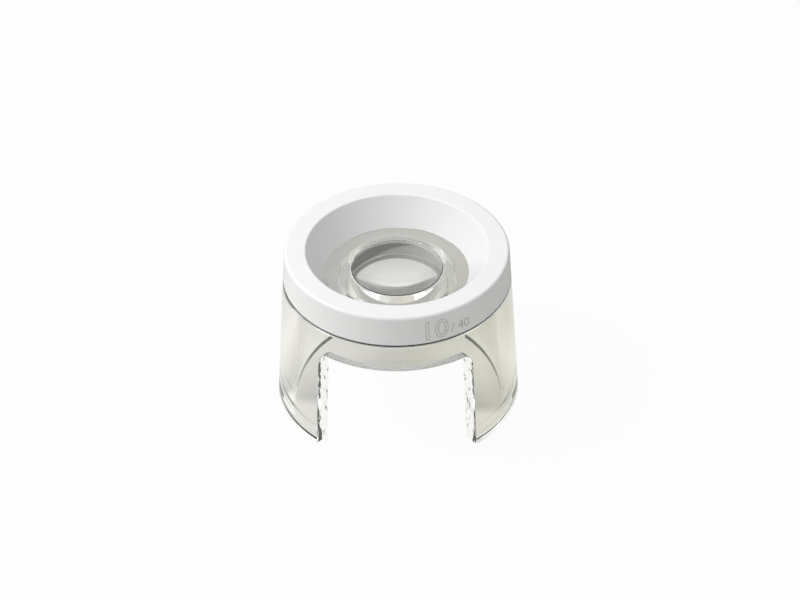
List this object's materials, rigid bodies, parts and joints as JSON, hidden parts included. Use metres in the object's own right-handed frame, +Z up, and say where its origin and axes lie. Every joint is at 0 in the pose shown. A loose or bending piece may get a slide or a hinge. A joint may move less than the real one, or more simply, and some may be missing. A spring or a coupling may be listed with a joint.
{
  "type": "stand magnifier",
  "caption": "Clear two-legged stand magnifier with a white eyecup ring that screws for focus over a lens pair in a clear barrel.",
  "frame": {"origin": "middle of the feet on the table, under the optical axis", "axes": "+Z up along the optical axis, +X across the two legs to the right leg, the arches open to -Y (front) and +Y"},
  "size_m": [0.0606, 0.0568, 0.043],
  "materials": {
    "clear_acrylic": "clear, polished as moulded",
    "white_plastic": "white, satin as moulded",
    "grey_silicone": "soft light grey",
    "barrel_acrylic": "clear, polished as moulded",
    "lens_glass": "clear optical polish",
    "spacer_grey": "grey, fine matt"
  },
  "bodies": {
    "stand": {"clear_stand": "clear_acrylic"},
    "focus_carrier": {"drag_ring": "grey_silicone"},
    "eyepiece": {"eyecup_ring": "white_plastic", "lens_barrel": "barrel_acrylic", "upper_lens": "lens_glass", "lens_spacer": "spacer_grey", "lower_lens": "lens_glass", "lens_retainer": "spacer_grey"}
  },
  "joints": [
    {"name": "focus_rise", "type": "slide", "parent": "stand", "child": "focus_carrier", "axis": [0, 0, 1], "range_m": [0, 0.0012]},
    {"name": "focus_turn", "type": "hinge", "parent": "focus_carrier", "child": "eyepiece", "pos_m": [0, 0, 0.0352], "axis": [0, 0, 1], "range_deg": [0, 270]}
  ],
  "couplings": [
    {"joint": "focus_turn", "follows": "focus_rise", "rad_per_m": 3927}
  ]
}
